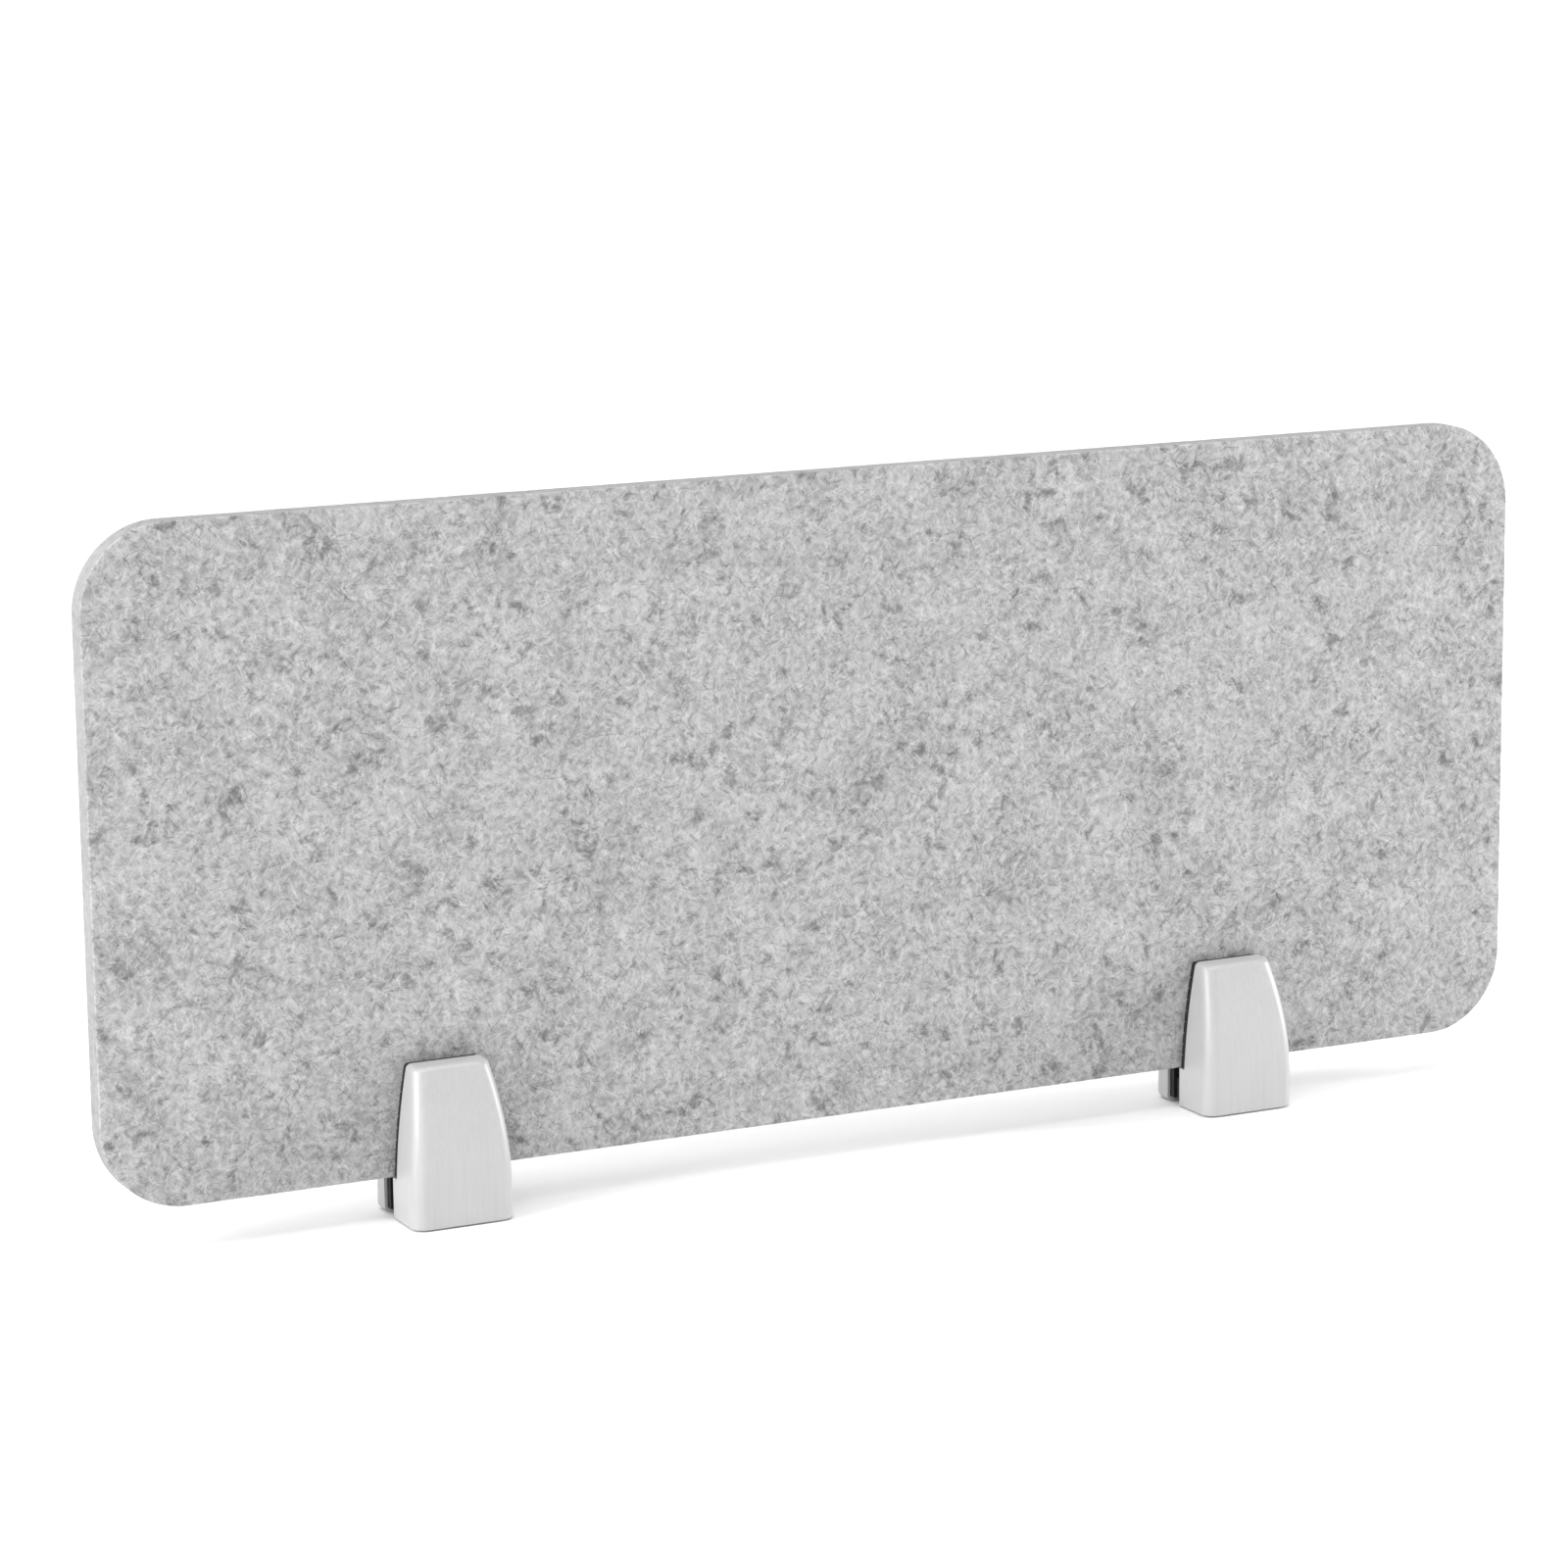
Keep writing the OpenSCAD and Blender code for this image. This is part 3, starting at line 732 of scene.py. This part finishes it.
def cover_sheet(build, jaw, centre_x, inset):
    """One net of points over a jaw; the lip's columns end at the lip's row."""
    net = {}
    for r, (z, pull) in enumerate(jaw_heights(jaw, inset)):
        half = half_row(jaw, z, pull, inset)
        row = half + [(-x, y) for x, y in reversed(half[:-1])]
        for c, (x, y) in enumerate(row):
            on_lip = c < LIP_STEPS or c >= len(row) - LIP_STEPS
            if r <= TOP_OF_LIP or not on_lip:
                net[r, c] = build.verts.new((centre_x + x * MM, jaw["side"] * y * MM, z * MM))
    return net, r + 1, len(row)


def jaw_cover_mesh(name, jaw, centre_x):
    """A shell: an outer net, an inner net, and quads that close the rim between them."""
    build = bmesh.new()
    outer, rows, columns = cover_sheet(build, jaw, centre_x, 0)
    inner = cover_sheet(build, jaw, centre_x, COVER_WALL)[0]
    patches = []
    for r in range(rows - 1):
        for c in range(columns - 1):
            spots = [(r, c), (r, c + 1), (r + 1, c + 1), (r + 1, c)]
            if all(spot in outer for spot in spots):
                patches.append(spots)
    patches.append([(0, c) for c in range(columns)][::-1])
    patches.append([(rows - 1, c) for c in range(LIP_STEPS, columns - LIP_STEPS)])
    edges = set()
    for spots in patches:
        build.faces.new([outer[s] for s in spots])
        build.faces.new([inner[s] for s in reversed(spots)])
        edges.update(zip(spots, spots[1:] + spots[:1]))
    for a, b in sorted(edges):
        if (b, a) not in edges:
            build.faces.new((outer[b], outer[a], inner[a], inner[b]))
    bmesh.ops.recalc_face_normals(build, faces=build.faces)
    return mesh_of(build, name)


print("a shell's wall is", COVER_WALL, "mm thick")

# %% [markdown]
# ### The screw's hole and the soft rim
#
# The rear cover has a hole that the clamp screw passes through. Cutting it from the lofted shell with a
# round bar is the plain way to do it, as a drill would. A small bevel then breaks every sharp rim, because
# paint pulls back from a sharp edge and real castings never have one.

# %% Cut the hole, break the rims, place the covers
SCREW_Z = (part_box("left_clamp_screw")[0].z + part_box("left_clamp_screw")[1].z) / 2
SCREW_HOLE_R = 4.4 * MM
DRILL_FROM, DRILL_TO = 20 * MM, 40 * MM      # from inside the shell to beyond its face
DRILL_SIDES = 64
RIM_BREAK = 0.35 * MM
SHARP_FROM = math.radians(35)
BREAK_STEPS = 2


def drill_bit(x, z):
    """A round bar along Y as a mesh."""
    build = bmesh.new()
    middle = Matrix.Translation((x, (DRILL_FROM + DRILL_TO) / 2, z))
    bmesh.ops.create_cone(
        build, cap_ends=True, segments=DRILL_SIDES, radius1=SCREW_HOLE_R, radius2=SCREW_HOLE_R,
        depth=DRILL_TO - DRILL_FROM, matrix=middle @ Matrix.Rotation(math.pi / 2, 4, "X"),
    )
    return mesh_of(build, "drill_bit")


def drill(mesh, centre_x):
    """The cover's mesh with the clamp screw's hole through its face."""
    cover = put_in_scene("cover_blank", mesh)
    bit = put_in_scene("drill_bit", drill_bit(centre_x, SCREW_Z))
    cut = cover.modifiers.new("hole", "BOOLEAN")
    cut.operation = "DIFFERENCE"
    cut.object = bit
    made_real = cover.evaluated_get(bpy.context.evaluated_depsgraph_get())
    drilled = bpy.data.meshes.new_from_object(made_real)
    bpy.data.objects.remove(cover)
    bpy.data.objects.remove(bit)
    return drilled


def break_edges(piece, width):
    """Rounds every sharp edge, and keeps flat faces flat."""
    bevel = piece.modifiers.new("broken_edge", "BEVEL")
    bevel.width = width
    bevel.segments = BREAK_STEPS
    bevel.limit_method = "ANGLE"
    bevel.angle_limit = SHARP_FROM
    bevel.harden_normals = True
    return bevel


for hand, centre_x in (("left", -FOOT_X), ("right", FOOT_X)):
    front = jaw_cover_mesh(f"{hand}_front_jaw_cover", front_jaw, centre_x)
    rear = drill(jaw_cover_mesh(f"{hand}_rear_jaw_cover", rear_jaw, centre_x), centre_x)
    for end, shell, body in (("front", front, "stand"), ("rear", rear, f"{hand}_rear_jaw")):
        cover = finish_piece(
            f"{hand}_{end}_jaw_cover", shell, [silver_paint], body,
            [f"{hand}_{end}_cover"],
        )
        break_edges(cover, RIM_BREAK)

# %% [markdown]
# ## Black nylon and rubber
#
# Inner frames and knobs are black nylon. Glass-filled nylon leaves the mould slightly mottled where the
# glass comes near the skin; the knobs are moulded in a spark-eroded tool, which gives them a fine even
# grain that grips. Rubber is the darkest and the least glossy, with a grey bloom. All three are one recipe
# with other numbers: a slow change of tone, and a skin grain that moves both the gloss and the relief.

# %% Moulded nylon and rubber


def moulded(name, dark, pale, tone_size, grain_size, grain_depth, roughness, ior):
    """A moulded black material; its sizes and its depth are in mm."""
    material, tree, shader, place = start_material(name)
    tone = add(tree, "ShaderNodeTexNoise", {
        "Vector": place, "Scale": per_mm(tone_size), "Detail": 3.0, "Roughness": 0.55,
    }).outputs["Fac"]
    grain = add(tree, "ShaderNodeTexNoise", {
        "Vector": place, "Scale": per_mm(grain_size), "Detail": 2.0, "Roughness": 0.55,
    }).outputs["Fac"]
    shade, dullness = 0.0, roughness - 0.12
    for layer, in_shade, in_dullness in ((tone, 0.7, 0.14), (grain, 0.3, 0.10)):
        shade = add(tree, "ShaderNodeMath", {
            0: layer, 1: in_shade, 2: shade,
        }, operation="MULTIPLY_ADD").outputs["Value"]
        dullness = add(tree, "ShaderNodeMath", {
            0: layer, 1: in_dullness, 2: dullness,
        }, operation="MULTIPLY_ADD").outputs["Value"]
    ramp = add(tree, "ShaderNodeValToRGB", {"Fac": shade})
    ramp.color_ramp.elements[0].position = 0.3
    ramp.color_ramp.elements[0].color = paint_chart(dark)
    ramp.color_ramp.elements[1].position = 0.7
    ramp.color_ramp.elements[1].color = paint_chart(pale)
    tree.links.new(ramp.outputs["Color"], shader.inputs["Base Color"])
    tree.links.new(dullness, shader.inputs["Roughness"])
    relief = add(tree, "ShaderNodeBump", {"Height": grain, "Strength": 0.6, "Distance": grain_depth * MM})
    tree.links.new(relief.outputs["Normal"], shader.inputs["Normal"])
    shader.inputs["IOR"].default_value = ior
    return material


# Glass-filled nylon is dull, with a slight mottle.
frame_nylon = moulded(
    "glass_filled_nylon_black", "1B1C1D", "2A2B2C",
    tone_size=6, grain_size=0.6, grain_depth=0.03, roughness=0.55, ior=1.53,
)
# Spark grain is even and fine, and deep enough to feel.
knob_nylon = moulded(
    "spark_grained_nylon_black", "181819", "262728",
    tone_size=9, grain_size=0.7, grain_depth=0.06, roughness=0.62, ior=1.53,
)
# Rubber is the darkest, with a broad grey bloom and almost no gloss.
pad_rubber = moulded(
    "moulded_rubber_black", "131313", "232323",
    tone_size=12, grain_size=0.9, grain_depth=0.03, roughness=0.85, ior=1.52,
)
print("moulded:", frame_nylon.name, knob_nylon.name, pad_rubber.name)

# %% [markdown]
# ## Metals
#
# The screws, washers and rings are zinc plated, the guide pins are ground bright, and the inserts are
# turned from brass. Each was made on something that spins, so all three carry fine rings round their axis,
# which a noise squeezed along that axis gives. Handling leaves slow soft changes of tone between them.

# %% Plated, ground and turned metal
TOOL_RING = 0.35        # real tool marks are finer; this is as coarse as it needs to be to show
RING_REACH = 30         # how far a ring keeps its tone, measured across the axis
HANDLED_SIZE = 8


def tooled_metal(name, dark, pale, roughness, ring_depth):
    """A metal with fine rings round the Y axis; the rings' depth is in mm."""
    material, tree, shader, place = start_material(name)
    along = add(tree, "ShaderNodeMapping", {
        "Vector": place, "Scale": (per_mm(RING_REACH), per_mm(TOOL_RING), per_mm(RING_REACH)),
    }).outputs["Vector"]
    rings = add(tree, "ShaderNodeTexNoise", {"Vector": along, "Scale": 1.0, "Detail": 2.0}).outputs["Fac"]
    tone = add(tree, "ShaderNodeTexNoise", {
        "Vector": place, "Scale": per_mm(HANDLED_SIZE), "Detail": 2.0, "Roughness": 0.55,
    }).outputs["Fac"]
    ramp = add(tree, "ShaderNodeValToRGB", {"Fac": tone})
    ramp.color_ramp.elements[0].position = 0.3
    ramp.color_ramp.elements[0].color = paint_chart(dark)
    ramp.color_ramp.elements[1].position = 0.7
    ramp.color_ramp.elements[1].color = paint_chart(pale)
    tree.links.new(ramp.outputs["Color"], shader.inputs["Base Color"])
    dullness = roughness - 0.11
    for layer, weight in ((rings, 0.12), (tone, 0.10)):
        dullness = add(tree, "ShaderNodeMath", {
            0: layer, 1: weight, 2: dullness,
        }, operation="MULTIPLY_ADD").outputs["Value"]
    tree.links.new(dullness, shader.inputs["Roughness"])
    relief = add(tree, "ShaderNodeBump", {"Height": rings, "Strength": 0.5, "Distance": ring_depth * MM})
    tree.links.new(relief.outputs["Normal"], shader.inputs["Normal"])
    shader.inputs["Metallic"].default_value = 1.0
    return material


# Zinc is bluish white and a little dull, ground steel is bright, brass is warm.
zinc_plate = tooled_metal("bright_zinc_plate", "A9ADB3", "C9CCD1", roughness=0.32, ring_depth=0.01)
dowel_steel = tooled_metal("ground_dowel_steel", "B4B5B7", "CFD0D2", roughness=0.2, ring_depth=0.004)
turned_brass = tooled_metal("turned_brass", "B08B45", "D2B06A", roughness=0.28, ring_depth=0.02)
print("metals:", zinc_plate.name, dowel_steel.name, turned_brass.name)

# %% [markdown]
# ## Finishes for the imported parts
#
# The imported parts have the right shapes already, so they keep their meshes and only get a finish and a
# small rounding on their edges, since no moulded or turned edge is knife sharp. Their meshes arrive with
# each face's points apart, so a weld of two thousandths of a millimetre joins them first. The bevel's
# clamp is off, because beside a very small face it would shrink every rounding to nothing.

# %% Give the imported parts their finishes
WELD_GAP = 0.002 * MM
# Each part's finish, and the rounding of its edges in mm; 0 where a new piece stands for it.
finishes = {
    "front_frame": (frame_nylon, 0.25), "rear_frame": (frame_nylon, 0.25),
    "front_grip_pad": (pad_rubber, 0.25), "rear_grip_pad": (pad_rubber, 0.25),
    "front_foot_pad": (pad_rubber, 0.2), "rear_foot_pad": (pad_rubber, 0.2),
    "front_cover_screws": (zinc_plate, 0.15), "rear_cover_screws": (zinc_plate, 0.15),
    "knob_washer": (zinc_plate, 0.15), "retaining_ring": (zinc_plate, 0.1),
    "threaded_insert": (turned_brass, 0.2), "guide_pins": (dowel_steel, 0.3),
    "clamp_screw": (zinc_plate, 0), "clamp_knob": (knob_nylon, 0),
    "front_cover": (silver_paint, 0), "rear_cover": (silver_paint, 0),
}
for hand in ("left", "right"):
    for part, (finish, edge_r) in finishes.items():
        piece = parts[f"{hand}_{part}"]
        for holder in piece.material_slots:
            holder.material = finish
        if edge_r:
            weld = piece.modifiers.new("joined_points", "WELD")
            weld.merge_threshold = WELD_GAP
            break_edges(piece, edge_r * MM).use_clamp_overlap = False
for holder in parts["felt_board"].material_slots:
    holder.material = pressed_felt
print("finishes given to", 2 * len(finishes) + 1, "packed parts")

# %% [markdown]
# ## Thumb knobs
#
# A thumb knob is a thick disc with finger hollows round it, moulded with soft edges and a raised collar
# where it meets the washer. Its outline is a circle with seven smaller circles taken out. Each point of
# the outline is found as the nearer of the two curves, blended where they meet, so that no edge is sharp.
# Rows of that outline, drawn in at both ends, make the body; a shallow dish with a raised ring closes
# the outer face.

# %% Thumb knob mesh
KNOB_LOBES = 7
HOLLOW_R = 5 * MM
HOLLOW_OUT = 0.45 * HOLLOW_R    # how far a hollow's centre stands outside the knob
BLEND = 1.3 * MM
KNOB_ROUND = 2.5 * MM
ROUND_ROWS = 6
BODY_ROWS = 4
OUTLINE_STEPS = 168
COLLAR_L = 3
BORE_R = 4
# Both profiles hold depths and radii in mm: the collar's from the inner face, the dish's from the outer.
COLLAR = ((0.4, BORE_R), (0, 4.4), (0, 9.5), (0.5, 10), (2.4, 10), (COLLAR_L, 10.6))
DISH = ((0, 11.2), (0.3, 10.8), (1.1, 10.2), (1.6, 7), (1.6, 5.6), (1.0, 5.2), (0.8, 4.6), (0.8, 2.0))


def knob_outline(knob_r):
    """Radius of the knob for each step round it."""
    centre = knob_r + HOLLOW_OUT
    radii = []
    for i in range(OUTLINE_STEPS):
        a = 2 * math.pi * i / OUTLINE_STEPS
        nearest = (a + math.pi / KNOB_LOBES) % (2 * math.pi / KNOB_LOBES) - math.pi / KNOB_LOBES
        across = centre * math.sin(nearest)
        inside = HOLLOW_R ** 2 - across ** 2
        hollow = centre * math.cos(nearest) - math.sqrt(inside) if inside > 0 else knob_r + BLEND
        gap = max(BLEND - abs(hollow - knob_r), 0) / BLEND
        radii.append(min(hollow, knob_r) - gap * gap * BLEND / 4)
    return radii


def knob_mesh(name, node, screw_end_y):
    """Collar, lobed body with rounded ends, and a dished outer face, lofted along the screw's axis."""
    low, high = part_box(node)
    x, z = (low.x + high.x) / 2, (low.z + high.z) / 2
    outline = knob_outline((high.x - low.x) / 2)
    base = low.y + COLLAR_L * MM
    quarter = [math.pi / 2 * i / ROUND_ROWS for i in range(ROUND_ROWS + 1)]
    rounding = [(KNOB_ROUND * (1 - math.cos(a)), -KNOB_ROUND * (1 - math.sin(a))) for a in quarter]
    straight = high.y - base - 2 * KNOB_ROUND
    rows = [(screw_end_y, BORE_R * MM, False)]
    rows += [(low.y + depth * MM, r * MM, False) for depth, r in COLLAR]
    rows += [(base + depth, pull, True) for depth, pull in rounding]
    rows += [(base + KNOB_ROUND + straight * i / BODY_ROWS, 0, True) for i in range(1, BODY_ROWS)]
    rows += [(high.y - depth, pull, True) for depth, pull in reversed(rounding)]
    rows += [(high.y - depth * MM, r * MM, False) for depth, r in DISH]
    build = bmesh.new()
    rings = []
    for y, radius, lobed in rows:
        ring = []
        for i in range(OUTLINE_STEPS):
            a = 2 * math.pi * i / OUTLINE_STEPS
            r = outline[i] + radius if lobed else radius
            ring.append(build.verts.new((x + r * math.cos(a), y, z + r * math.sin(a))))
        rings.append(ring)
    skin(build, rings)
    bmesh.ops.recalc_face_normals(build, faces=build.faces)
    return mesh_of(build, name)


for hand in ("left", "right"):
    screw_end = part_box(f"{hand}_clamp_screw")[1].y
    mesh = knob_mesh(f"{hand}_thumb_knob", f"{hand}_clamp_knob", screw_end)
    finish_piece(
        f"{hand}_thumb_knob", mesh, [knob_nylon], f"{hand}_screw",
        [f"{hand}_clamp_knob"], sharp_deg=32,
    )

# %% [markdown]
# ## Clamp screws
#
# The clamp screw is an M8 stud: a thread with a rise of 1.25 mm for each turn, rolled into a plated bar.
# A thread is one surface whose radius depends only on where you are along and round the bar, so a net of
# points wrapped round the axis draws it exactly, with no helix to sweep. The thread runs out where the
# stud enters the rear jaw, and the plain shank carries on to the knob.

# %% Threaded clamp screw mesh
THREAD_RISE = 1.25 * MM
THREAD_DEPTH = 0.6 * MM
THREAD_SIDES = 40
ROWS_PER_TURN = 8
RUN_OUT = 2 * THREAD_RISE      # the thread's depth fades over its last two turns
TIP_BEVEL = 1.0 * MM
RING_GROOVE = 0.6 * MM
GROOVE_WALL = 0.01 * MM
THREAD_END = 6 * MM            # from the rear frame's inner face


def screw_mesh(name, node, plain_from, groove):
    """A stud along Y: a bevelled tip, the thread, a plain shank and the retaining ring's groove."""
    low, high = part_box(node)
    x, z = (low.x + high.x) / 2, (low.z + high.z) / 2
    full_r = (high.x - low.x) / 2
    rows = int((plain_from - low.y) / THREAD_RISE * ROWS_PER_TURN)
    stops = [low.y + THREAD_RISE * i / ROWS_PER_TURN for i in range(rows)]
    stops += [plain_from, groove[0] - GROOVE_WALL, groove[0], groove[1], groove[1] + GROOVE_WALL, high.y]
    build = bmesh.new()
    rings = []
    for y in stops:
        fade = min(1, max(0, (plain_from - y) / RUN_OUT))
        tip = max(0, TIP_BEVEL - (y - low.y))
        ring = []
        for i in range(THREAD_SIDES):
            a = 2 * math.pi * i / THREAD_SIDES
            phase = ((y - low.y) / THREAD_RISE - i / THREAD_SIDES) % 1
            tooth = min(1, max(0, 2.6 * abs(phase - 0.5) - 0.15))    # flat root, steep flanks, flat crest
            r = min(full_r - THREAD_DEPTH * (1 - tooth) * fade, full_r - tip)
            if groove[0] <= y <= groove[1]:
                r = full_r - RING_GROOVE
            ring.append(build.verts.new((x + r * math.cos(a), y, z + r * math.sin(a))))
        rings.append(ring)
    skin(build, rings)
    bmesh.ops.recalc_face_normals(build, faces=build.faces)
    return mesh_of(build, name)


for hand in ("left", "right"):
    ring_low, ring_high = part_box(f"{hand}_retaining_ring")
    plain_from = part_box(f"{hand}_rear_frame")[0].y + THREAD_END
    mesh = screw_mesh(f"{hand}_threaded_stud", f"{hand}_clamp_screw", plain_from, (ring_low.y, ring_high.y))
    finish_piece(
        f"{hand}_threaded_stud", mesh, [zinc_plate], f"{hand}_screw",
        [f"{hand}_clamp_screw"], sharp_deg=50,
    )
